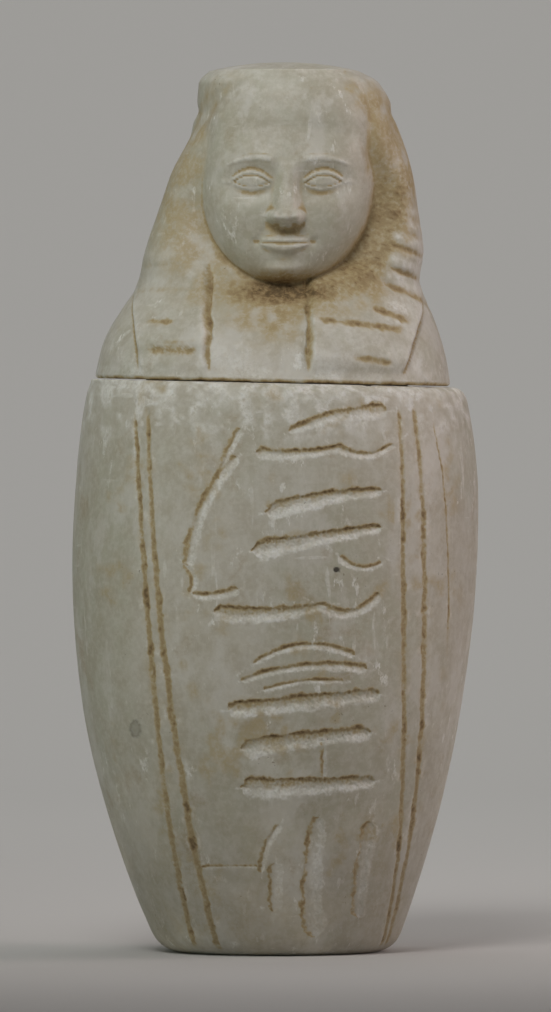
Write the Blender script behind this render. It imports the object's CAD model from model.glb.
import math

import bpy
import numpy as np
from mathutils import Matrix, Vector, noise


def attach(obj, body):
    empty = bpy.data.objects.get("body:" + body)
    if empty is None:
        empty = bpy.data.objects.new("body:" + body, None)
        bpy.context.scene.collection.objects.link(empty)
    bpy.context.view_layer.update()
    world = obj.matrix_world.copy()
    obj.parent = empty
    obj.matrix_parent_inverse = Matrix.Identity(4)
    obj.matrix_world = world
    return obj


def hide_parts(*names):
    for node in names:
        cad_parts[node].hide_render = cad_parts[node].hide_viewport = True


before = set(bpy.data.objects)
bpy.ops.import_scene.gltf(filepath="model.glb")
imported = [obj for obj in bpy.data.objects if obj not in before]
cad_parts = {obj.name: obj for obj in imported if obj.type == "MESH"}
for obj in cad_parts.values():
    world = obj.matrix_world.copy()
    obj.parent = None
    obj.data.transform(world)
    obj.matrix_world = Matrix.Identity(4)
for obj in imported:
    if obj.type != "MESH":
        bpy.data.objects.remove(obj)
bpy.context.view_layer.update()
mm = 0.001


# ---- The jar's block ----
# One block of pale calcite, turned and rubbed smooth outside and drilled hollow from the mouth. Its outline
# is drawn in millimetres and spun about the upright axis, then its columns are crowded towards the front,
# where the carving will be.
jar_height = 192
belly_radius = 68.5
belly_height = 140
curve_below = 2.06
curve_above = 2.3
foot_flat = 32
foot_radius = 39.4
foot_corner = foot_radius + 0.6
foot_round = 8
rim_radius = 63.1
rim_flat = 58.6
rim_round = 5
mouth_radius = 46
mouth_chamfer = 1.5
bore_floor = 20
bore_corner = 30
bore_corner_height = 32
bore_curve = 1.8
seat_tilt = math.radians(1.3)
jar_columns = 168
jar_crowding = 0.6  # how far its columns are drawn to the front, from 0 to 1
jar_row = 1.4
shoulder = jar_height - rim_round


def smooth(value, low, high):
    share = np.clip((value - low) / (high - low), 0, 1)
    return share * share * (3 - 2 * share)


def bell(value):
    return np.exp(-value * value)


def outer_radius(z):
    below = z < belly_height
    away = np.abs(z - belly_height) / np.where(below, belly_height, jar_height - belly_height)
    drop = np.where(below, belly_radius - foot_radius, belly_radius - rim_radius)
    return belly_radius - drop * away ** np.where(below, curve_below, curve_above)


def bore_radius(z):
    down = (jar_height - z) / (jar_height - bore_corner_height)
    return mouth_radius - (mouth_radius - bore_corner) * np.clip(down, 0, 1) ** bore_curve


def rounded(start, corner, end, steps):
    t = np.linspace(0, 1, steps + 1)[:, None]
    return (1 - t) ** 2 * np.array(start) + 2 * t * (1 - t) * np.array(corner) + t**2 * np.array(end)


def between(radius_at, low, high, step):
    levels = np.linspace(low, high, max(2, round(abs(high - low) / step)) + 1)
    return np.column_stack([radius_at(levels), levels])


def spun(name, outline, columns):
    """Spins a wire outline, drawn from axis to axis, about the upright axis, and closes seam and poles."""
    mesh = bpy.data.meshes.new(name)
    points = [(radius * mm, 0, height * mm) for radius, height in outline]
    mesh.from_pydata(points, [(i, i + 1) for i in range(len(points) - 1)], [])
    piece = bpy.data.objects.new(name, mesh)
    bpy.context.collection.objects.link(piece)
    bpy.ops.object.select_all(action="DESELECT")
    piece.select_set(True)
    bpy.context.view_layer.objects.active = piece
    bpy.ops.object.mode_set(mode="EDIT")
    bpy.ops.mesh.select_all(action="SELECT")
    bpy.ops.mesh.spin(steps=columns, angle=math.tau, center=(0, 0, 0), axis=(0, 0, 1))
    bpy.ops.mesh.select_all(action="SELECT")
    bpy.ops.mesh.remove_doubles(threshold=0.01 * mm)
    bpy.ops.mesh.normals_make_consistent(inside=False)
    bpy.ops.object.mode_set(mode="OBJECT")
    return piece


def places(piece):
    flat = np.empty(len(piece.data.vertices) * 3)
    piece.data.vertices.foreach_get("co", flat)
    return flat.reshape(-1, 3) / mm


def put(piece, points):
    piece.data.vertices.foreach_set("co", (points * mm).ravel())
    piece.data.update()


def turned(points):
    """Angle of each point round the upright axis, 0 at the front and positive to the right."""
    return np.arctan2(points[:, 0], -points[:, 1])


def drawn_to_front(points, share):
    """Turns the columns of a spun shape towards the front, so they lie closer together there."""
    turn = turned(points)
    turn = turn - share * np.sin(turn)
    reach = np.hypot(points[:, 0], points[:, 1])
    return np.column_stack([reach * np.sin(turn), -reach * np.cos(turn), points[:, 2]])


foot_edge = (float(outer_radius(foot_round)), foot_round)
shoulder_edge = (float(outer_radius(shoulder)), shoulder)
jar_outline = np.vstack([
    [(0, 0), (12, 0), (24, 0)],
    rounded((foot_flat, 0), (foot_corner, 0), foot_edge, 9),
    between(outer_radius, foot_round, shoulder, jar_row)[1:],
    rounded(shoulder_edge, (rim_radius, jar_height), (rim_flat, jar_height), 7)[1:],
    [(54, jar_height), (50, jar_height), (mouth_radius + mouth_chamfer, jar_height)],
    between(bore_radius, jar_height - mouth_chamfer, bore_corner_height, 6),
    rounded((bore_corner, bore_corner_height), (bore_corner - 3, bore_floor), (20, bore_floor), 5)[1:],
    [(10, bore_floor), (0, bore_floor)],
])
jar = spun("jar_carved", jar_outline, jar_columns)
put(jar, drawn_to_front(places(jar), jar_crowding))


# ---- The border lines and the strokes ----
# Upright lines scribed down the front with a point, and between them the place of the inscription: shallow
# gouged strokes in rows that are no letters. Each has a steep upper wall and a flat, crumbled lower one.

# A border line runs through (height, angle round the jar) points, with a width, a depth and an upper end.
border_lines = [
    ([(184, -46.8), (85, -37.6), (48, -38.1), (4, -43)], 3.1, 0.45, 183),
    ([(184, -41.5), (85, -32), (35, -29.8), (2, -29.7)], 3.3, 0.5, 184),
    ([(184, 38.8), (127, 39.2), (71, 45.6), (21, 56.9)], 2.9, 0.45, 186),
    ([(184, 44.6), (127, 47.7), (48, 57), (4, 66.5)], 3.5, 0.5, 187),
    ([(177, 53.2), (127, 58.6), (96, 62.4), (60, 66)], 1.4, 0.25, 182),
]
# A stroke runs from one end to the other (across, height), with a bow upwards in the middle, its width at
# both ends, and the depth it was cut to. Its steep wall is above, or to the left on an upright one.
strokes = [
    ((5, 176.4), (34, 183.4), 1.4, 2.6, 5.4, 1.0),
    ((-5, 168.6), (20, 170.6), -1.0, 4.2, 2.4, 1.1),
    ((20.5, 170.8), (38, 172), -3.0, 3.0, 1.8, 1.0),
    ((0, 150), (33.5, 156.2), 0.8, 6.4, 3.0, 1.5),
    ((-4, 136.8), (33.5, 143.6), 0.2, 6.6, 3.2, 1.6),
    ((22.5, 133.6), (35, 132), -2.2, 2.4, 1.4, 0.7),
    ((-16.5, 115.4), (16, 117.8), -1.2, 5.8, 3.2, 1.3),
    ((17, 117.4), (34.5, 121), -3.6, 3.6, 2.6, 1.1),
    ((-5, 99.4), (26, 101.8), 4.2, 1.8, 2.6, 0.9),
    ((-9, 93.4), (30, 97), 2.6, 2.2, 3.0, 1.0),
    ((-2, 90.4), (23, 93), 1.0, 1.6, 1.6, 0.7),
    ((-12, 83.4), (33.5, 88), 0.2, 5.4, 5.0, 1.4),
    ((-7, 70.6), (31, 75.4), 0.4, 6.4, 4.6, 1.5),
    ((-6.5, 57.2), (32.5, 59), -0.4, 6.8, 4.4, 1.5),
    ((17.2, 72), (17.2, 61), 0, 1.4, 1.4, 0.8),
    ((1.5, 44), (-4, 30), 1, 2.6, 2.2, 0.8),
    ((0.5, 29.5), (0, 17.5), 0, 4.6, 4.2, 0.5),
    ((15, 44.5), (12.8, 10.5), 1.2, 5.2, 7.4, 0.7),
    ((32.5, 42.5), (27.8, 15), 0.8, 5.4, 4.2, 0.9),
    ((-23.5, 30.2), (-6, 30.8), 0.3, 0.8, 0.7, 0.35),
    ((-12.6, 175.6), (-19, 161), 0.8, 2.4, 2.2, 0.7),
    ((-14.5, 166), (-28.5, 133), 3.0, 3.4, 4.0, 0.7),
    ((-29.4, 131), (-27.4, 123.4), -1.4, 2.2, 1.8, 0.8),
    ((-26, 121.6), (-13, 123), -0.8, 2.2, 3.0, 0.8),
]
stroke_worn_to = 0.42  # the share of that depth that wear has left
stroke_points = 61
# The faces within the first reach of the carving are divided, and those within the second once more.
stroke_reach = 2.2
edge_reach = 0.6
# Two natural spots in the stone, a pale grey one and a small dark one, by place across, height, half width
# and half height, and then how dark each is in its middle and how much its edge adds.
spots = [(-47.3, 76.4, 2.0, 3.1), (19.7, 130, 0.9, 1.0)]
spot_darkness = [(0.3, 0.25), (1, 0)]


def grain(points, size, seed, octaves=1):
    """Smooth seeded unevenness at each point, about -1 to 1, with lumps of a size in millimetres."""
    at = points / size + seed * np.array([7.3, 3.1, 5.7])
    if octaves == 1:
        return np.array([noise.noise(Vector(p)) for p in at])
    return np.array([noise.fractal(Vector(p), 1.0, 2.0, octaves) for p in at])


def from_line(points, line):
    """Distance of each point round the jar from a border line, positive to the right."""
    heights, angles = np.array(line).T
    bend = np.polyfit(heights, np.radians(angles), 2)
    turn = turned(points)
    return (turn - np.polyval(bend, points[:, 2])) * np.hypot(points[:, 0], points[:, 1])


def from_stroke(x, z, stroke):
    """Height of each point above a stroke's middle line, half width there, and overrun past the ends."""
    start, end, bow, start_width, end_width = stroke[:5]
    t = np.linspace(0, 1, stroke_points)
    along = np.subtract(end, start)
    upward = np.array([-along[1], along[0]]) / np.hypot(*along)
    if abs(upward[1]) < 0.5:
        upward = -upward * np.sign(upward[0])
    line = np.array(start) + t[:, None] * along + (4 * bow * t * (1 - t))[:, None] * upward
    heading = np.gradient(line, axis=0)
    heading /= np.hypot(*heading.T)[:, None]
    normal = np.column_stack([-heading[:, 1], heading[:, 0]])
    normal *= np.sign(normal @ upward)[:, None]
    gap = np.stack([x, z], 1)[:, None, :] - line[None, :, :]
    nearest = np.argmin((gap**2).sum(2), axis=1)
    pick = gap[np.arange(len(x)), nearest]
    above = (pick * normal[nearest]).sum(1)
    which_end = np.where(nearest == len(t) - 1, 1, 0) - np.where(nearest == 0, 1, 0)
    past = (pick * heading[nearest]).sum(1) * which_end
    return above, (start_width + (end_width - start_width) * t[nearest]) / 2, np.maximum(past, 0)


def round_stroke(x, z, stroke, reach):
    """True for points in the upright box round a stroke."""
    (x0, z0), (x1, z1), bow, start_width, end_width = stroke[:5]
    room = max(start_width, end_width) / 2 + abs(bow) + reach
    close = (x > min(x0, x1) - room) & (x < max(x0, x1) + room)
    return close & (z > min(z0, z1) - room) & (z < max(z0, z1) + room)


def near_carving(points, reach):
    """True for points within a reach of any border line, stroke or spot."""
    x, y, z = points.T
    front = (y < 0) & (np.hypot(x, y) > outer_radius(z) - 2) & (z < shoulder + 4) & (z > 1)
    near = np.zeros(len(points), bool)
    for line, width, _, top in border_lines:
        near |= front & (np.abs(from_line(points, line)) < width / 2 + reach) & (z < top + 3)
    for stroke in strokes:
        at = np.flatnonzero(front & round_stroke(x, z, stroke, reach))
        above, half, past = from_stroke(x[at], z[at], stroke)
        near[at] |= np.hypot(above, past) < half + reach
    for across, height, half_width, half_height in spots:
        sideways = (x - across) / (half_width + reach)
        upright = (z - height) / (half_height + reach)
        near |= front & (np.hypot(sideways, upright) < 1)
    return near


def refine(piece, chosen):
    """Halves each face whose centre is chosen, both ways."""
    mesh = piece.data
    centres = np.empty(len(mesh.polygons) * 3)
    mesh.polygons.foreach_get("center", centres)
    bpy.ops.object.select_all(action="DESELECT")
    piece.select_set(True)
    bpy.context.view_layer.objects.active = piece
    bpy.context.tool_settings.mesh_select_mode = (False, False, True)
    bpy.ops.object.mode_set(mode="EDIT")
    bpy.ops.mesh.select_all(action="DESELECT")
    bpy.ops.object.mode_set(mode="OBJECT")
    mesh.polygons.foreach_set("select", chosen(centres.reshape(-1, 3) / mm))
    bpy.ops.object.mode_set(mode="EDIT")
    bpy.ops.mesh.subdivide(number_cuts=1)
    bpy.ops.object.mode_set(mode="OBJECT")


def marked(piece, name, values):
    """Keeps a number from 0 to 1 at each vertex, for the stone's finish to read."""
    layer = piece.data.attributes.new(name, "FLOAT", "POINT")
    layer.data.foreach_set("value", np.clip(values, 0, 1))


refine(jar, lambda centres: near_carving(centres, stroke_reach))
refine(jar, lambda centres: near_carving(centres, edge_reach))

points = places(jar)
jar_x, jar_y, jar_z = points.T
reach = np.hypot(jar_x, jar_y)
outside = reach > np.maximum(bore_radius(jar_z) + 4, np.where(jar_z > shoulder, mouth_radius + 4, 0))
front = np.flatnonzero(outside & (jar_y < 0) & (jar_z > 1) & near_carving(points, stroke_reach))
cut = np.zeros(len(points))
brown = np.zeros(len(points))
frost = np.zeros(len(points))
front_points = points[front]
front_x, front_z = front_points[:, 0], front_points[:, 2]
wander = grain(front_points, 9, 1)
ragged = grain(front_points, 1.6, 2)
pecked = grain(front_points, 0.75, 3)
blotch = grain(front_points, 4.5, 4)

for border_line in border_lines:
    line, width, depth, top = border_line
    away = np.abs(from_line(front_points, line) + 0.5 * wander)
    half = width / 2 * (1 + 0.25 * ragged + 0.3 * blotch) * (1 - 0.3 * smooth(front_z, 110, 178))
    live = smooth(-front_z, -top, -top + 6) * smooth(front_z, 1, 5)
    if border_line is border_lines[-1]:  # the outermost one dies out halfway down
        live = live * smooth(front_z, 92, 118)
    groove = np.clip(1 - away / half, 0, 1) ** 0.8
    cut[front] = np.maximum(cut[front], depth * groove * live * (0.85 + 0.3 * blotch + 0.15 * pecked))
    stain = 0.5 + 0.42 * smooth(blotch + 0.7 * ragged, 0.05, 0.7)
    stain = stain - 0.15 * smooth(wander, 0.05, 0.5) + 0.15 * pecked
    stain = stain * smooth(-away, -half * 1.15, -half * 0.35)
    spread = 0.2 * bell(away / (2.4 * half)) * smooth(wander + blotch, -0.5, 0.5)
    brown[front] = np.maximum(brown[front], np.maximum(stain, spread) * live)
    crushed = bell((away - half * 1.3) / (0.5 * half)) * live * smooth(blotch, 0.05, 0.5)
    frost[front] = np.maximum(frost[front], 0.8 * crushed)

for stroke in strokes:
    (x0, z0), (x1, z1) = stroke[:2]
    upright = abs(x1 - x0) < abs(z1 - z0)
    at = np.flatnonzero(round_stroke(front_x, front_z, stroke, stroke_reach))
    above, half, past = from_stroke(front_x[at] + 0.4 * ragged[at], front_z[at] + 0.3 * wander[at], stroke)
    half = half * (1 + 0.2 * ragged[at] + 0.22 * blotch[at])
    room = np.sqrt(np.clip(half**2 - past**2, 0.01, None)) * (past < half)
    from_top = room - above + 0.06 * pecked[at]
    from_foot = room + above + 0.35 * pecked[at]
    side = above / np.maximum(room, 0.1)
    hollow = smooth(from_top, -0.1, 0.9) * smooth(from_foot, 0, 0.9 * np.maximum(half, 0.8))
    pits = 1 + 0.5 * pecked[at] * smooth(half, 0.8, 2) + 0.25 * ragged[at]
    index = front[at]
    cut[index] = np.maximum(cut[index], stroke_worn_to * stroke[5] * hollow * pits)
    wall = bell((from_top - 0.35) / 0.8) * smooth(side, -0.1, 0.5) * (past < half)
    bed = smooth(side, -0.7, 0.4) * smooth(from_top, -0.4, 0.1) * (past < half + 0.4)
    soiled = 0.62 * wall * np.clip(0.72 + 0.7 * blotch[at] + 0.35 * pecked[at], 0.15, 1)
    soaked = np.clip(0.2 + 0.2 * blotch[at] + 0.18 * ragged[at] + 0.2 * pecked[at], 0.05, 0.42)
    soiled += bed * soaked * (0.35 if upright else 1)
    brown[index] = np.maximum(brown[index], np.clip(soiled, 0, 1))
    lip = smooth(-side, -0.5, 0.3) * smooth(from_foot, -0.8, 0.0)
    powdered = np.clip(0.85 + 0.4 * blotch[at] + 0.5 * pecked[at], 0, 1)
    frost[index] = np.maximum(frost[index], lip * powdered)

# The block isn't quite true: it leans, its rim slopes and is fuller on the left, and its walls wave
# slightly under the hand.
slow_wave = 0.28
short_wave = 0.07
lean_most = 1.7
lean_top = 160
rim_fullness = 0.8
wave = slow_wave * grain(points, 38, 5) + short_wave * grain(points, 9, 6)
inward = (cut - wave * outside) / np.maximum(reach, 1)
points[:, 0] -= jar_x * inward
points[:, 1] -= jar_y * inward
rim = outside & (jar_z > shoulder)
squared = rim * rim_fullness * smooth(-jar_x, 0, rim_flat)
widened = 1 + squared * np.maximum(rim_radius - reach, 0) / np.maximum(reach, 1)
points[:, 0] *= widened
points[:, 1] *= widened
fall = np.tan(seat_tilt) * smooth(jar_z, belly_height, shoulder)
points[:, 2] -= points[:, 0] * fall
lean = lean_most * np.sin(np.pi * np.clip(jar_z / lean_top, 0, 1) ** 0.9) * smooth(jar_z, 0, foot_round)
points[:, 0] -= lean

# The rim's outer edge and the foot's edge are bruised and lightly chipped.
chip_in = 1.6
chip_down = 1.3
edge_grain = grain(points, 5, 7, 3)
rim_edge = bell((jar_z - jar_height + 1) / 3) * outside
foot_edge_wear = bell((jar_z - 2) / 3) * outside * (reach > foot_flat)
chip = np.clip(edge_grain - 0.28, 0, 1) * (rim_edge + foot_edge_wear)
points[:, 2] -= chip_down * chip * rim_edge
points[:, 0] -= jar_x / np.maximum(reach, 1) * chip_in * chip
points[:, 1] -= jar_y / np.maximum(reach, 1) * chip_in * chip
bruise = smooth(grain(points, 5.5, 8, 4), 0.06, 0.32) * smooth(jar_z, 166, 184)
rim_wear = smooth(jar_z, 183, 189) * smooth(grain(points, 6, 9, 3), -0.3, 0.2)
frost = np.maximum(frost, np.maximum(0.95 * bruise, 0.95 * rim_wear) * outside + 0.8 * chip)
smudge = smooth(grain(points, 17, 10, 3), 0.12, 0.5) * smooth(-jar_y, 10, 40)
smudge = smudge * smooth(grain(points, 5, 11, 2), -0.4, 0.3)
foot_soil = 0.16 * smooth(-jar_z, -95, -5) * smooth(grain(points, 24, 12, 3), -0.7, 0.4)
brown = np.maximum(brown, np.maximum(0.26 * smudge, foot_soil) * outside)
foot_grime = 0.34 * smooth(-jar_z, -110, 10) * smooth(grain(points, 30, 14, 3), -1.0, 0.3)
put(jar, points)

marked(jar, "dirt", brown)
marked(jar, "frost", frost)
dark = foot_grime
for (across, height, half_width, half_height), (middle_dark, edge_dark) in zip(spots, spot_darkness):
    spread = np.hypot((jar_x - across) / half_width, (jar_z - height) / half_height)
    spread = spread + 0.3 * grain(points, 1.4, 13)
    inside = smooth(-spread, -1.15, -0.8) * (jar_y < 0)
    dark = np.maximum(dark, inside * (middle_dark + edge_dark * smooth(spread, 0.5, 0.9)))
marked(jar, "fleck", dark * outside)
bpy.ops.object.select_all(action="DESELECT")
jar.select_set(True)
bpy.context.view_layer.objects.active = jar
bpy.ops.object.shade_smooth()


# ---- The stone ----
# Calcite, or Egyptian alabaster: greenish cream with cloudy veins, faintly translucent, rubbed to a satin.
# It is white where bruised and powdery, and brown where old dirt has settled in the cuts and hollows.
greenish_cream = (0.495, 0.483, 0.375)
warm_cream = (0.565, 0.535, 0.445)
olive_mottle = (0.425, 0.38, 0.275)
pale_streak = (0.64, 0.615, 0.545)
milky_vein = (0.65, 0.63, 0.56)
amber_stain = (0.385, 0.30, 0.175)
clear_crystal = (0.70, 0.68, 0.61)
white_powder = (0.88, 0.875, 0.82)
golden_dirt = (0.47, 0.375, 0.20)
brown_dirt = (0.285, 0.195, 0.09)
packed_dirt = (0.12, 0.08, 0.035)
dark_spot = (0.075, 0.065, 0.05)


def calcite(name, seed):
    """Cloudy colour, powder and dirt where they were marked, a satin gloss and a fine tooth."""
    stone = bpy.data.materials.new(name)
    stone.use_nodes = True
    tree = stone.node_tree
    shader = tree.nodes["Principled BSDF"]

    def node(kind, **settings):
        made = tree.nodes.new("ShaderNode" + kind)
        for key, value in settings.items():
            if hasattr(made, key):
                setattr(made, key, value)
            else:
                made.inputs[key.replace("_", " ").capitalize()].default_value = value
        return made

    place = node("TexCoord").outputs["Object"]

    def cloud(scale, detail, rough, shift, stretch=(1, 1, 1)):
        moved = node("Mapping")
        moved.inputs["Location"].default_value = (seed + shift, shift * 1.7, seed - shift)
        moved.inputs["Scale"].default_value = stretch
        tree.links.new(place, moved.inputs["Vector"])
        field = node("TexNoise", Scale=scale, Detail=detail, Roughness=rough)
        tree.links.new(moved.outputs["Vector"], field.inputs["Vector"])
        return field.outputs["Fac"]

    def band(value, low, high, floor=0.0, ceiling=1.0):
        made = node("MapRange", interpolation_type="SMOOTHSTEP")
        made.inputs["From Min"].default_value = low
        made.inputs["From Max"].default_value = high
        made.inputs["To Min"].default_value = floor
        made.inputs["To Max"].default_value = ceiling
        tree.links.new(value, made.inputs["Value"])
        return made.outputs["Result"]

    def calc(operation, first, second):
        made = node("Math", operation=operation)
        for socket, value in zip(made.inputs, (first, second)):
            if isinstance(value, (int, float)):
                socket.default_value = value
            else:
                tree.links.new(value, socket)
        return made.outputs["Value"]

    def blend(share, under, over):
        made = node("Mix", data_type="RGBA")
        tree.links.new(share, made.inputs["Factor"])
        for socket, value in ((made.inputs["A"], under), (made.inputs["B"], over)):
            if isinstance(value, tuple):
                socket.default_value = (*value, 1)
            else:
                tree.links.new(value, socket)
        return made.outputs["Result"]

    def kept(attribute):
        return node("Attribute", attribute_name=attribute).outputs["Fac"]

    colour = blend(band(cloud(15, 3, 0.5, 0), 0.38, 0.62), greenish_cream, warm_cream)
    mottle = band(cloud(110, 6, 0.68, 2), 0.38, 0.62)
    colour = blend(calc("MULTIPLY", mottle, 0.5), colour, olive_mottle)
    streaks = band(cloud(170, 3, 0.6, 3, (1, 1, 0.07)), 0.35, 0.7)
    colour = blend(calc("MULTIPLY", streaks, 0.2), colour, pale_streak)
    vein = band(cloud(48, 6, 0.68, 5, (1, 1, 0.6)), 0.5, 0.62)
    colour = blend(calc("MULTIPLY", vein, 0.6), colour, milky_vein)
    stain = band(cloud(44, 6, 0.72, 8), 0.55, 0.68)
    colour = blend(calc("MULTIPLY", stain, 0.5), colour, amber_stain)
    crystals = band(cloud(430, 4, 0.7, 10), 0.42, 0.64)
    colour = blend(calc("MULTIPLY", crystals, 0.3), colour, clear_crystal)
    # Small white bruises in drifts, short scratches, and dark specks.
    drift = band(cloud(34, 2, 0.5, 11), 0.42, 0.58)
    nicks = band(cloud(200, 4, 0.7, 13, (1, 1, 0.5)), 0.59, 0.67)
    scratch = band(cloud(330, 2, 0.5, 14, (1, 1, 0.1)), 0.66, 0.7)
    crossing = band(cloud(300, 2, 0.5, 16, (0.12, 0.12, 1)), 0.69, 0.73)
    struck = calc("MAXIMUM", nicks, calc("MULTIPLY", calc("MAXIMUM", scratch, crossing), 0.55))
    frosted = calc("MAXIMUM", kept("frost"), calc("MULTIPLY", struck, drift))
    powder = band(cloud(640, 3, 0.65, 15), 0.3, 0.6, 0.35, 1.0)
    chalk = band(cloud(150, 5, 0.75, 37), 0.38, 0.58, 0.45, 1.0)
    frosted = calc("MULTIPLY", calc("MULTIPLY", frosted, powder), chalk)
    colour = blend(calc("MULTIPLY", frosted, 0.85), colour, white_powder)
    # Dirt is golden where it is thin and dark brown where it is packed in.
    grit = band(cloud(800, 1, 0.5, 19), 0.7, 0.75)
    specks = calc("MULTIPLY", grit, band(cloud(45, 2, 0.5, 21), 0.5, 0.65))
    crumbs = band(cloud(560, 3, 0.65, 23), 0.3, 0.62, 0.55, 1.0)
    dirt = calc("MULTIPLY", kept("dirt"), crumbs)
    colour = blend(band(dirt, 0.0, 0.42), colour, golden_dirt)
    colour = blend(band(dirt, 0.22, 0.8), colour, brown_dirt)
    packed = calc("MAXIMUM", dirt, calc("MULTIPLY", specks, 0.85))
    colour = blend(band(packed, 0.62, 1.1), colour, packed_dirt)
    colour = blend(kept("fleck"), colour, dark_spot)
    tree.links.new(colour, shader.inputs["Base Color"])

    rubbed = band(cloud(90, 4, 0.6, 27), 0.3, 0.7, 0.42, 0.56)
    dull = calc("ADD", rubbed, calc("MULTIPLY", calc("MAXIMUM", dirt, frosted), 0.3))
    tree.links.new(dull, shader.inputs["Roughness"])
    shader.inputs["IOR"].default_value = 1.5
    shader.inputs["Subsurface Weight"].default_value = 0.18
    shader.inputs["Subsurface Radius"].default_value = (1.0, 0.85, 0.6)
    shader.inputs["Subsurface Scale"].default_value = 0.004

    tooth = calc("ADD", calc("MULTIPLY", cloud(1500, 3, 0.6, 31), 0.35), cloud(260, 4, 0.6, 33))
    rougher = calc("MULTIPLY", calc("MAXIMUM", dirt, frosted), cloud(1100, 4, 0.7, 35))
    relief = node("Bump", Strength=0.45, Distance=0.0005)
    tree.links.new(calc("ADD", calc("MULTIPLY", tooth, 0.4), rougher), relief.inputs["Height"])
    tree.links.new(relief.outputs["Normal"], shader.inputs["Normal"])
    return stone


jar.data.materials.append(calcite("jar_calcite", 2.0))
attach(jar, "root")
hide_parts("jar")


# ---- The lid's block ----
# A second block of the same stone: a flat seat with a round plug under it, shoulders, and a head in a
# headcloth. Its rings are spun first; the carving below then moves each point out to the carved surface.
joint_gap = 0.3
seat_height = jar_height + joint_gap
lid_height = 108
plug_radius = 44.2
plug_depth = 9
plug_chamfer = 1.5
lid_columns = 400
lid_crowding = 0.5  # how far its columns are drawn to the front, from 0 to 1
lid_row = 0.56
unit_ring = 100  # ring radius that stands for the whole of a section
crown_edge = 105
crown_round = 2.2


def whole(levels):
    return np.full(len(levels), unit_ring)


cap_shares = np.sin(np.linspace(math.pi / 2, 0, 14))[1:]
cap_heights = lid_height + (crown_edge - lid_height) * cap_shares**crown_round
lid_outline = np.vstack([
    [(0, -plug_depth), (20, -plug_depth), (plug_radius - plug_chamfer, -plug_depth)],
    [(plug_radius, plug_chamfer - plug_depth), (plug_radius, -4), (plug_radius, 0)],
    [(50, 0), (75, 0), (98.8, 0), (99.7, 0.25)],
    between(whole, 0.8, crown_edge, lid_row),
    np.column_stack([unit_ring * cap_shares, cap_heights]),
])
lid = spun("lid_carved", lid_outline, lid_columns)

# ---- The headcloth and the head ----
# The headcloth falls from a brow band into two wings and two lappets on the chest. Its sections are given
# by height above the seat: middle, half width, and reach of the stone to the front and to the back.
sections = np.array([
    (0, -1.4, 60.1, 57, 58.5),
    (14, -1.1, 56.9, 51.5, 55.5),
    (24.5, -0.2, 52.2, 43.5, 50.5),
    (31, 0.4, 48.6, 38.5, 47.5),
    (35, 0.8, 47.3, 36, 46.3),
    (42, 2.1, 47.2, 33.5, 45),
    (58, 3.8, 43.8, 32, 43),
    (70, 5, 40.8, 34, 41.5),
    (90, 6.3, 32.8, 36.5, 39),
    (99, 4.7, 30.4, 35, 36.5),
    (102, 3.7, 28.9, 33.4, 33.8),
    (105, 2.4, 24.4, 30.5, 29.5),
])
chin = 34
hairline = 91
brow = chin + (hairline - chin) * 2 / 3
eye = brow - 5
nose_base = chin + (hairline - chin) / 3
mouth = nose_base - (nose_base - chin) * 0.34
face_half = 28.5
temple_half = 26.5
face_depth = 41.5
face_middle = 2
face_lean = 0.045
face_roundness = 2.05
eye_apart = face_half * 0.42
eye_half = 6.3
eye_rise = 2.7
eye_fall = 1.8
socket_depth = 2.3
eyeball_rise = 2.7
nose_root = 1.3
nose_rise = 5.6
mouth_half = 9.2
upper_lip = 2.5
lower_lip = 3.3
cheek_rise = 1.4
chin_rise = 2.2
left_hollow = 4
right_hollow = 7.5
throat_hollow = 5


def through(values, h):
    """A smooth curve through one column of the sections, read at each height."""
    heights = sections[:, 0]
    slopes = np.gradient(values, heights)
    h = np.clip(h, heights[0], heights[-1])
    i = np.clip(np.searchsorted(heights, h, side="right") - 1, 0, len(heights) - 2)
    span = heights[i + 1] - heights[i]
    t = (h - heights[i]) / span
    low = values[i] * (1 + 2 * t) * (1 - t) ** 2 + slopes[i] * span * t * (1 - t) ** 2
    return low + values[i + 1] * t * t * (3 - 2 * t) - slopes[i + 1] * span * t * t * (1 - t)


def across_face(x, h):
    return x - face_middle - face_lean * (h - chin)


def face_share(x, h):
    """Place within the oval of the face: 0 in its middle and 1 on its edge."""
    half = face_half + (temple_half - face_half) * np.clip((h - eye) / (hairline - eye), 0, 1)
    half = half * (1 - 0.36 * smooth(h, hairline - 4, crown_edge))
    down = np.clip((eye - h) / (eye - chin), 0, 2)
    sideways = np.abs(across_face(x, h) / half)
    return (sideways**face_roundness + down**face_roundness) ** (1 / face_roundness)


def eyes(away, h):
    """Sunk sockets, round eyeballs, and lids with a fine line along them."""
    du = (away - eye_apart) / eye_half
    dv = h - eye - 0.04 * (away - eye_apart)
    open_share = np.clip(1 - du * du, 0, 1)
    upper = eye_rise * open_share
    lower = -eye_fall * open_share
    socket = -socket_depth * bell(np.hypot((away - eye_apart) / 8.8, (dv + 0.1) / 5.0) ** 1.2)
    ball = eyeball_rise * bell(np.hypot((away - eye_apart) / 5.9, (dv - 0.3) / 3.4) ** 1.5)
    within = smooth(np.abs(du), 1.12, 0.98)
    lid_top = 0.55 * bell((dv - upper - 0.5) / 0.55) * within
    lid_foot = 0.35 * bell((dv - lower + 0.4) / 0.45) * within
    slit_top = -0.5 * bell((dv - upper + 0.3) / 0.35) * within
    slit = slit_top - 0.35 * bell((dv - lower - 0.2) / 0.3) * within
    crease = -0.5 * bell((dv - upper - 1.9) / 0.55) * smooth(np.abs(du), 1.2, 0.7)
    tail = 0.35 * bell((dv + 0.2) / 0.6) * smooth(du, 0.95, 1.15) * smooth(-du, -1.75, -1.5)
    return socket + ball + lid_top + lid_foot + slit + crease + tail


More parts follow.
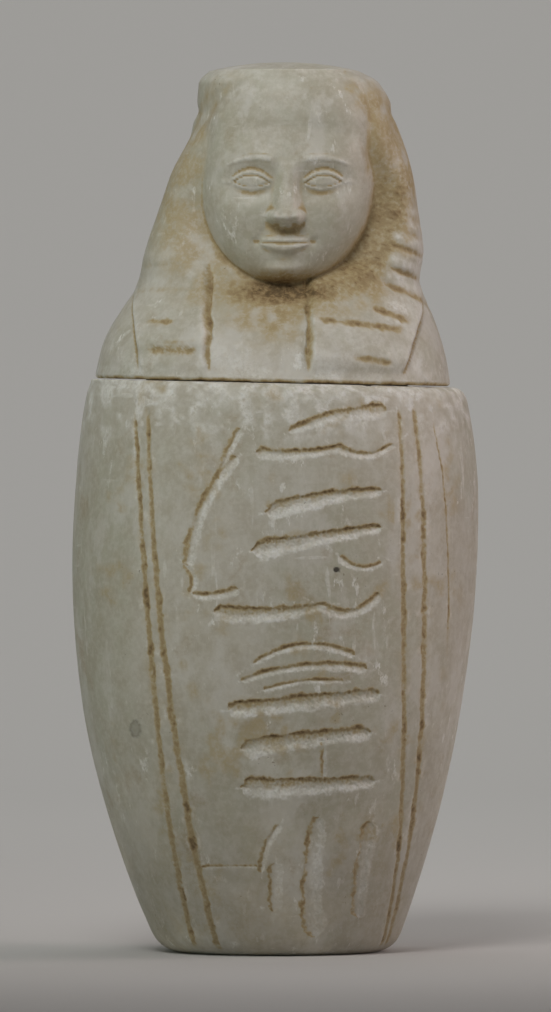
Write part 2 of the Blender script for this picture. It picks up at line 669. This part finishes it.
def brows(away, h):
    arch = brow + 3.2 - ((away - 10.5) / 6.6) ** 2
    width = 1.0 - 0.55 * smooth(away, 12, 21)
    strip = smooth(-np.abs(h - arch), -width - 0.4, -width + 0.4)
    ridge = 0.6 * bell((h - arch + 0.6) / 3.8) * smooth(away, 0, 7) * smooth(-away, -25, -17)
    return ridge + 0.5 * strip * smooth(away, 4, 7) * smooth(-away, -22, -18)


def nose(across, h):
    away = np.abs(across)
    down = np.clip((brow - 1 - h) / (brow - 1 - nose_base), 0, 1.3)
    base = nose_base + 0.05 * away**2
    bridge = (nose_root + nose_rise * np.clip(down, 0, 1) ** 1.2) * smooth(h, base - 2.8, base + 2.2)
    bridge = bridge * smooth(-h, -brow - 4, -brow + 3)
    width = 3.1 + 1.5 * np.clip(down, 0, 1) ** 2
    ridge = bridge * bell((across / width) ** 2 * 0.8)
    tip = 1.3 * bell(np.hypot(across / 2.9, (h - nose_base - 2.6) / 2.5))
    wings = 2.5 * bell(np.hypot((away - 4.5) / 1.8, (h - nose_base - 2.4) / 2.1) ** 1.6)
    nostrils = -0.8 * bell(np.hypot((away - 2.6) / 1.2, (h - nose_base + 0.1) / 0.8))
    return ridge + tip + wings + nostrils


def lips(across, h):
    away = np.abs(across)
    line = mouth + 0.5 * (away / 9) ** 2
    full = np.clip(1 - (away / mouth_half) ** 2, 0, 1)
    upper = upper_lip * full - 0.5 * bell(across / 1.4) + 0.01
    lower = lower_lip * full + 0.01
    top = 1.5 * bell((h - line - 0.42 * upper) / (0.5 * upper + 0.25)) * full**0.7
    bottom = 1.9 * bell((line - h - 0.45 * lower) / (0.5 * lower + 0.25)) * full**0.7
    parting = -1.0 * bell((h - line) / 0.55) * smooth(-away, -9.8, -8)
    corners = -0.7 * bell(np.hypot((away - 9.6) / 1.5, (h - line) / 1.3))
    groove = -0.45 * bell(across / 1.1) * smooth(h, mouth + 2.6, mouth + 4)
    groove = groove * smooth(-h, -nose_base - 1, -nose_base)
    below = -1.2 * bell(np.hypot(across / 7, (h - mouth + 6) / 2.1))
    return top + bottom + parting + corners + groove + below


def face_front(x, h):
    """How far the face stands ahead of the axis."""
    across = across_face(x, h)
    away = np.abs(across)
    share = face_share(x, h)
    edge = np.where(share < 1, 7 * share**8, 7 + 90 * (share - 1))
    forehead = 3.4 * smooth(h, brow, hairline) + 9 * smooth(h, hairline - 4, crown_edge + 6)
    cheeks = cheek_rise * bell(np.hypot((away - 15) / 8, (h - nose_base - 4) / 7.5))
    chin_ball = chin_rise * bell(np.hypot(across / 7.5, (h - chin - 4.8) / 4.2))
    folds = -0.35 * bell((away - 6 - 0.5 * (nose_base - h)) / 1.3) * smooth(h, mouth + 1, mouth + 3)
    folds = folds * smooth(-h, -nose_base - 2, -nose_base)
    front = face_depth - 9 * (across / face_half) ** 2 - edge - forehead + cheeks + chin_ball + folds
    features = eyes(away, h) + brows(away, h) + nose(across, h) + lips(across, h)
    return front + features * smooth(-share, -1, -0.85)


def stone_left(x, y, h):
    """Above zero inside the carved form and below it outside: headcloth and face, joined by a crease."""
    beside = (face_share(x, h) - 1) * face_half - 2
    low = smooth(h, chin - 2, chin + 8) * (1 - smooth(h, brow - 6, hairline))
    hollow = np.where(across_face(x, h) < 0, left_hollow, right_hollow) * low * bell(beside / 9)
    neck = throat_hollow * bell(np.hypot(across_face(x, h) / 17, (h - chin + 1) / 6))
    ahead = through(sections[:, 3], h) - hollow - neck
    along = np.abs(y) / np.where(y < 0, ahead, through(sections[:, 4], h))
    sideways = np.abs(x - through(sections[:, 1], h)) / through(sections[:, 2], h)
    power = 2.35 + 0.9 * low * (y < 0)
    cloth = (1 - (sideways**power + along**power) ** (1 / power)) * face_depth
    face = np.where(y < 0, y + face_front(x, h), -face_depth)
    fillet = 1.2 + 3.8 * smooth(h, brow + 8, hairline)
    crease = np.maximum(0, fillet - np.abs(cloth - face))
    return np.maximum(cloth, face) + crease**2 / (4 * fillet)


points = places(lid)
ring = np.hypot(points[:, 0], points[:, 1])
lid_h = points[:, 2].copy()
plug = (ring <= plug_radius + 0.01) & (lid_h <= 0)
turn = turned(points)
turn = turn - lid_crowding * np.sin(turn)
sine, cosine = np.sin(turn), np.cos(turn)
middle = through(sections[:, 1], lid_h)
# The carved surface is found along each ray from the middle, by halving the stretch that holds it.
surely_stone = 5.0
surely_air = 75.0
halvings = 22
near = np.full(len(points), surely_stone)
far = np.full(len(points), surely_air)
for _ in range(halvings):
    halfway = (near + far) / 2
    solid = stone_left(middle + halfway * sine, -halfway * cosine, lid_h) > 0
    near = np.where(solid, halfway, near)
    far = np.where(solid, far, halfway)
carved = near


def on_rays(middle, reach):
    """The lid's points, each at a reach from the middle on its own ray."""
    return np.column_stack([middle + reach * sine, -reach * cosine, lid_h])


# ---- The folds, the lappets and the brow band ----
# Lappets stand a little proud of the chest, with a cut along their edges. The wings' outer strips are
# pleated: each pleat is a low roll between slanting cuts, which run on round the side and fade behind.

# A cut is given by its start across, its height where it begins on the front, its slope, its end across and
# its depth. One whose start or end is round a side runs on towards the back.
round_left = -80
round_right = 80
pleats = [
    (44, 54.4, -0.38, round_right, 0.45),
    (43, 50.2, -0.36, round_right, 0.5),
    (37.4, 46.7, -0.38, round_right, 0.95),
    (36.8, 38.9, -0.45, round_right, 0.95),
    (33.8, 33.4, -0.42, round_right, 0.95),
    (30, 25.4, -0.38, 43.5, 1.0),
    (12.8, 20.9, -0.105, 41.2, 1.0),
    (24.6, 8.7, -0.13, 38, 0.8),
    (round_left, 39.4, 0.03, -31, 0.22),
    (round_left, 31, 0.02, -25, 0.22),
    (-42.2, 19.9, 0, -33.2, 0.8),
    (-39, 12.6, 0.04, -26, 0.25),
]
# A lappet has an inner edge, an outer edge at the seat and higher up, the depth and the dirt of the cut
# along that outer edge, and a powdery bloom.
lappets = [(-23.2, -45.5, -48, 0.3, 0.25, 0.15), (10.8, 41, 48.5, 0.7, 0.75, 0.4)]
lappet_rise = 2.0
inner_cut = 1.4
pleat_cut = 0.72
pleat_roll = 0.25
open_side = np.flatnonzero(~plug & (ring > 60))
open_points = on_rays(middle, carved)[open_side]
across, up = open_points[:, 0], open_points[:, 2]
facing = cosine[open_side]
wander = grain(open_points, 8, 41)
ragged = grain(open_points, 1.5, 42)
blotch = grain(open_points, 4.5, 43)
pecked = grain(open_points, 0.8, 44)
relief = np.zeros(len(open_points))
brown = np.zeros(len(open_points))
frost = np.zeros(len(open_points))
away_face = (face_share(across, up) - 1) * face_half
clear_of_face = smooth(away_face, -0.5, 2)

lappet_fade = smooth(-up, -42, -32) * clear_of_face
for inner, outer_foot, outer_top, outer_cut, outer_dirt, bloom in lappets:
    outer = outer_foot + (outer_top - outer_foot) * np.clip(up / 24, 0, 1)
    sign = np.sign(outer_top)
    gap_inner = sign * (across - inner) + 0.9 * wander + 0.2 * ragged
    gap_outer = sign * (outer - across) + 0.25 * wander
    on = smooth(gap_inner, -0.5, 0.9) * smooth(gap_outer, -0.8, 1.4) * smooth(facing, 0, 0.5) * lappet_fade
    floor_cut = smooth(up, 1.5, 9) if sign > 0 else 0.45 + 0.55 * smooth(up, 8, 14)
    relief += lappet_rise * on * floor_cut * smooth(up, 1, 6)
    frost = np.maximum(frost, bloom * on * smooth(wander + blotch, -1.2, 0.2))
    for gap, depth, soil in ((gap_inner, inner_cut, 1.0), (gap_outer, outer_cut, outer_dirt)):
        width = 0.85 * (1 + 0.5 * blotch)
        trim = bell((gap + 0.3) / width) * lappet_fade * smooth(up, 1, 14) * smooth(facing, 0.1, 0.5)
        relief -= depth * trim
        brown = np.maximum(brown, soil * trim * np.clip(0.62 + 0.5 * blotch + 0.3 * ragged, 0.2, 1))
        powdery = bell((gap - 1.6) / 0.9) * lappet_fade * smooth(blotch, -0.1, 0.4) * smooth(up, 5, 7)
        frost = np.maximum(frost, 0.7 * powdery * smooth(facing, 0, 0.4))

strips = np.zeros(len(open_points))
side_fade = 0.3 * smooth(facing, -0.95, -0.4) + 0.7 * smooth(facing, 0.24, 0.48)
for start, height, slope, end, depth in pleats:
    anchor = end if start == round_left else start
    line = height + slope * (np.clip(across, min(start, end), max(start, end)) - anchor) + 0.3 * wander
    live = smooth(across, start - 0.8, start + 2.5) * smooth(-across, -end - 0.8, -end + 2.5) * side_fade
    gap = up - line
    width = 0.9 * (1 + 0.3 * ragged)
    groove = bell(gap / width) * live
    relief -= pleat_cut * depth * groove * (0.9 + 0.25 * blotch)
    patchy = np.clip(0.6 + 0.55 * blotch + 0.35 * ragged, 0.15, 0.9)
    soil = bell((gap - 0.15) / (1.15 * width)) * live * patchy
    brown = np.maximum(brown, soil * min(1, depth + 0.1))
    strip = smooth(across, 33, 38) if start > 0 else 0.3 * smooth(-across, 30, 38)
    relief += pleat_roll * bell((gap - 2.8) / 1.8) * live * strip
    scuffed = bell((gap - 3.4) / 2.2) * live * strip * smooth(blotch + 0.4 * ragged, -0.7, 0.0)
    strips = np.maximum(strips, scuffed)

# The headcloth's front edge stands off the temples in an arch that dies out across the forehead.
arch_half = face_half - 1
above_arch = np.clip((up - 80) / 21.5, 0, None)
arch_gap = ((np.abs(across_face(across, up) / arch_half) ** 4 + above_arch**4) ** 0.25 - 1) * arch_half
arch_right = smooth(across_face(across, up), 12, 19) * smooth(up, 64, 76)
arch_left = 0.6 * smooth(-across_face(across, up), 19, 23) * smooth(up, 84, 90)
arch_live = (arch_right + arch_left) * smooth(facing, 0.1, 0.4)
arch_cut = bell((arch_gap + 0.1) / 1.5) * arch_live
relief += 0.7 * smooth(arch_gap, 0, 2.6) * smooth(-arch_gap, -9, -4) * arch_live - 0.5 * arch_cut
brown = np.maximum(brown, arch_cut * np.clip(0.3 + 0.5 * blotch, 0.05, 0.5))
temple_soil = bell((arch_gap + 2.2) / 2.4) * arch_live * smooth(up, 84, 92)
brown = np.maximum(brown, 0.35 * temple_soil * smooth(blotch, -0.4, 0.4))

# A pitted, dirty patch at the foot of the left lappet, and the recesses left rough from the point.
pit_patch = smooth(-np.abs(across + 34.5), -9.5, -6) * bell((up - 10.2) / 1.8) * (facing > 0)
relief -= 0.8 * pit_patch * (0.7 + 0.6 * ragged)
brown = np.maximum(brown, 0.55 * pit_patch * np.clip(0.7 + 0.8 * pecked, 0, 1))
right = smooth(across_face(across, up), 0, 8)
in_recess = smooth(up, 20, 34) * smooth(-up, -84, -62) * smooth(away_face, -1.2, 1.6)
in_recess = in_recess * smooth(-away_face, -17, -10) * smooth(facing, 0.15, 0.4)
rough = in_recess * (0.3 + 0.7 * right)
relief += rough * smooth(away_face, 1, 4) * (0.35 * pecked + 0.4 * ragged)
curls = 0.6 + 0.2 * wander + 0.25 * blotch + 0.35 * smooth(ragged + 0.6 * pecked, 0.1, 0.7)
curls = np.clip(curls, 0.35, 1)
brown = np.maximum(brown, in_recess * (0.24 + 0.6 * right) * curls * (1 - 0.8 * strips))
halo = smooth(up, 14, 30) * smooth(-up, -108, -92)
halo = halo * smooth(away_face, -2, 2) * smooth(-away_face, -26, -12)
halo = halo * (0.75 + 0.25 * right) * smooth(facing, -0.1, 0.3)
brown = np.maximum(brown, 0.42 * halo * smooth(wander + 0.6 * blotch, -0.9, 0.3) * (1 - strips))
frost = np.maximum(frost, strips)
throat = bell(np.hypot(across_face(across, up) / 18, (up - chin + 3.5) / 5.4)) * (facing > 0)
relief += throat * (0.3 * pecked + 0.25 * ragged)
brown = np.maximum(brown, throat * np.clip(1.05 + 0.5 * blotch + 0.4 * ragged, 0.45, 1.4))
chest = bell(np.hypot((across + 2) / 15, (up - 22) / 9)) * (facing > 0)
brown = np.maximum(brown, 0.5 * chest * smooth(wander + blotch, -1.1, 0.2))
chest_scuff = bell(np.hypot((across + 6) / 16, (up - 10) / 8)) * (facing > 0)
chest_scuff = chest_scuff * smooth(blotch + 0.5 * ragged, 0.05, 0.5)
frost = np.maximum(frost, 0.8 * chest_scuff)

# The brow band stands a little proud of the cloth below it, but not across the face.
band_rise = 0.9
band_groove = 0.35
carved[open_side] += relief
band_share = 1 - smooth(cosine, 0.1, 0.55)
band_step = smooth(lid_h, hairline - 2, hairline + 4) * band_share
band_cut = bell((lid_h - hairline) / 2) * band_share
carved += (band_rise * band_step - band_groove * band_cut) * ~plug
lid_brown = np.zeros(len(points))
lid_frost = np.zeros(len(points))
lid_brown[open_side] = brown
lid_frost[open_side] = frost
lid_brown = np.maximum(lid_brown, 0.25 * band_cut)

# The block waves slightly under the hand, and its rings close in over the crown and under the seat.
lid_slow_wave = 0.3
lid_short_wave = 0.1
body = on_rays(middle, carved)
wave = lid_slow_wave * grain(body, 30, 51) + lid_short_wave * grain(body, 8, 52)
crown_share = np.where(lid_h > crown_edge, ring / unit_ring, 1)
seat_share = np.where(lid_h <= 0.3, np.minimum(ring / unit_ring, 1), 1)
carved = (carved + wave) * (crown_share * seat_share)
reach = np.where(plug, ring, carved)
middle = np.where(plug, 0, middle)
points = on_rays(middle, reach)
points[:, 2] -= np.tan(seat_tilt) * points[:, 0] * (1 - smooth(lid_h, 0, chin))

# The lower edge is worn round, chipped here and there, and brown from the joint.
lid_chip_in = 1.1
lid_chip_up = 0.3
lid_edge_wear = 0.6
edge_grain = grain(points, 5, 53, 3)
edge = bell(lid_h / 2.2) * ~plug * (ring > 95)
chip = np.clip(edge_grain - 0.22, 0, 1) * edge
outward = np.column_stack([sine, -cosine])
points[:, :2] -= outward * (lid_chip_in * chip + lid_edge_wear * bell(lid_h / 0.8) * (ring > 95))[:, None]
points[:, 2] += lid_chip_up * chip
lid_brown = np.maximum(lid_brown, bell(lid_h / 0.9) * (ring > 90) * np.clip(0.7 + edge_grain, 0.2, 1))
scuffed_foot = smooth(grain(points, 12, 54, 2), 0.02, 0.45) * smooth(-lid_h, -22, -2) * 0.7
lid_frost = np.maximum(lid_frost, scuffed_foot)
crown_frost = smooth(grain(points, 7, 55, 3), 0.2, 0.6) * smooth(lid_h, hairline - 6, hairline + 6)
lid_frost = np.maximum(lid_frost, 0.4 * crown_frost)
points[:, 2] += seat_height
put(lid, points)


def hollowness(piece, rounds):
    """How far each vertex lies under the smoothed surface round it, in millimetres, below zero on edges."""
    mesh = piece.data
    count = len(mesh.vertices)
    ends = np.empty(len(mesh.edges) * 2, int)
    mesh.edges.foreach_get("vertices", ends)
    first, second = ends.reshape(-1, 2).T
    neighbours = np.bincount(ends, minlength=count)
    facing = np.empty(count * 3)
    mesh.vertices.foreach_get("normal", facing)
    start = places(piece)
    eased = start.copy()
    for _ in range(rounds):
        for axis in range(3):
            ahead = np.bincount(first, eased[second, axis], count)
            behind = np.bincount(second, eased[first, axis], count)
            eased[:, axis] = (eased[:, axis] + (ahead + behind) / neighbours) / 2
    return ((eased - start) * facing.reshape(-1, 3)).sum(1)


# Dust has settled in every hollow of the carving, and its sharp edges are rubbed pale.
sunk = hollowness(lid, 60)
settled = smooth(sunk, 0.12, 0.75) * np.clip(0.75 + 0.9 * grain(points, 6, 56, 2), 0, 1)
lid_brown = np.maximum(lid_brown, 0.55 * settled)
rubbed = smooth(-sunk, 0.15, 0.6) * np.clip(0.3 + grain(points, 5, 57, 2), 0, 1)
lid_frost = np.maximum(lid_frost, 0.6 * rubbed) * (1 - lid_brown)
fine = hollowness(lid, 8)
lid_brown = np.maximum(lid_brown, 0.5 * smooth(fine, 0.035, 0.16) * (lid_h > 1))
lid_frost = np.maximum(lid_frost, 0.45 * smooth(-fine, 0.04, 0.16) * (lid_h > 1))
marked(lid, "dirt", lid_brown)
marked(lid, "frost", lid_frost)
marked(lid, "fleck", np.zeros(len(points)))
bpy.ops.object.select_all(action="DESELECT")
lid.select_set(True)
bpy.context.view_layer.objects.active = lid
bpy.ops.object.shade_smooth()
lid.data.materials.append(calcite("lid_calcite", 5.0))
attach(lid, "root")
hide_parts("lid")


# ---- The studio ----
# A pale floor that sweeps up a little behind, low enough to be looked over from the back, a broad soft lamp
# above the front, a weaker lamp at each side and one for the backdrop, in a plain grey room.
def sweep(name, half_width, ahead, bend_start, bend, top):
    last = math.acos(1 - top / bend)
    arc = [(bend_start + bend * math.sin(a), bend - bend * math.cos(a)) for a in np.linspace(0, last, 25)]
    run = [(-ahead, 0.0), *arc]
    mesh = bpy.data.meshes.new(name)
    corners = [(side * half_width, y, z) for y, z in run for side in (-1, 1)]
    mesh.from_pydata(corners, [], [(2 * i, 2 * i + 1, 2 * i + 3, 2 * i + 2) for i in range(len(run) - 1)])
    floor = bpy.data.objects.new(name, mesh)
    bpy.context.collection.objects.link(floor)
    for face in mesh.polygons:
        face.use_smooth = True
    return floor


floor = sweep("floor", half_width=2.4, ahead=2.4, bend_start=1.5, bend=1.5, top=0.5)
paper = bpy.data.materials.new("floor_paper")
paper.use_nodes = True
matte = paper.node_tree.nodes["Principled BSDF"]
matte.inputs["Base Color"].default_value = (0.62, 0.61, 0.59, 1)
matte.inputs["Roughness"].default_value = 0.9
floor.data.materials.append(paper)


def lamp(name, place, target, size, spread, power, colour):
    light = bpy.data.lights.new(name, "AREA")
    light.shape = "DISK"
    light.size = size
    light.spread = math.radians(spread)
    light.energy = power
    light.color = colour
    holder = bpy.data.objects.new(name, light)
    bpy.context.collection.objects.link(holder)
    holder.location = place
    holder.rotation_euler = (Vector(target) - Vector(place)).to_track_quat("-Z", "Y").to_euler()


# Each lamp has a place, a place it looks at, a size, a spread in degrees, a power and a colour.
lamp("key", (-0.22, -0.85, 1.0), (0, 0, 0.31), 0.5, 50, 0.56, (0.99, 0.97, 0.96))
lamp("left_fill", (-1.3, -0.4, 0.4), (0, 0, 0.15), 0.9, 110, 0.5, (0.80, 1.0, 0.78))
lamp("right_fill", (1.2, 0.05, 0.6), (0, 0, 0.2), 0.8, 110, 1.7, (1.0, 0.81, 0.80))
lamp("backdrop", (0, 0.9, 2.1), (0, 2.4, 0.2), 1.4, 140, 13, (1.0, 0.99, 0.97))
world = bpy.data.worlds.new("studio")
world.use_nodes = True
room = world.node_tree.nodes["Background"]
room.inputs["Color"].default_value = (1, 1, 1, 1)
room.inputs["Strength"].default_value = 0.17
bpy.context.scene.world = world
bpy.context.scene.view_settings.view_transform = "Standard"

distance = 4.0
aside = -0.0005
look_height = 0.1505
seen_height = 0.342
lens = bpy.data.cameras.new("camera")
lens.sensor_width = 36
lens.lens = lens.sensor_width * distance / seen_height
lens.clip_end = 50
camera = bpy.data.objects.new("camera", lens)
bpy.context.collection.objects.link(camera)
target = Vector((aside, 0, look_height))
camera.location = (aside, -distance, jar_height * mm)
camera.rotation_euler = (target - camera.location).to_track_quat("-Z", "Y").to_euler()
bpy.context.scene.camera = camera
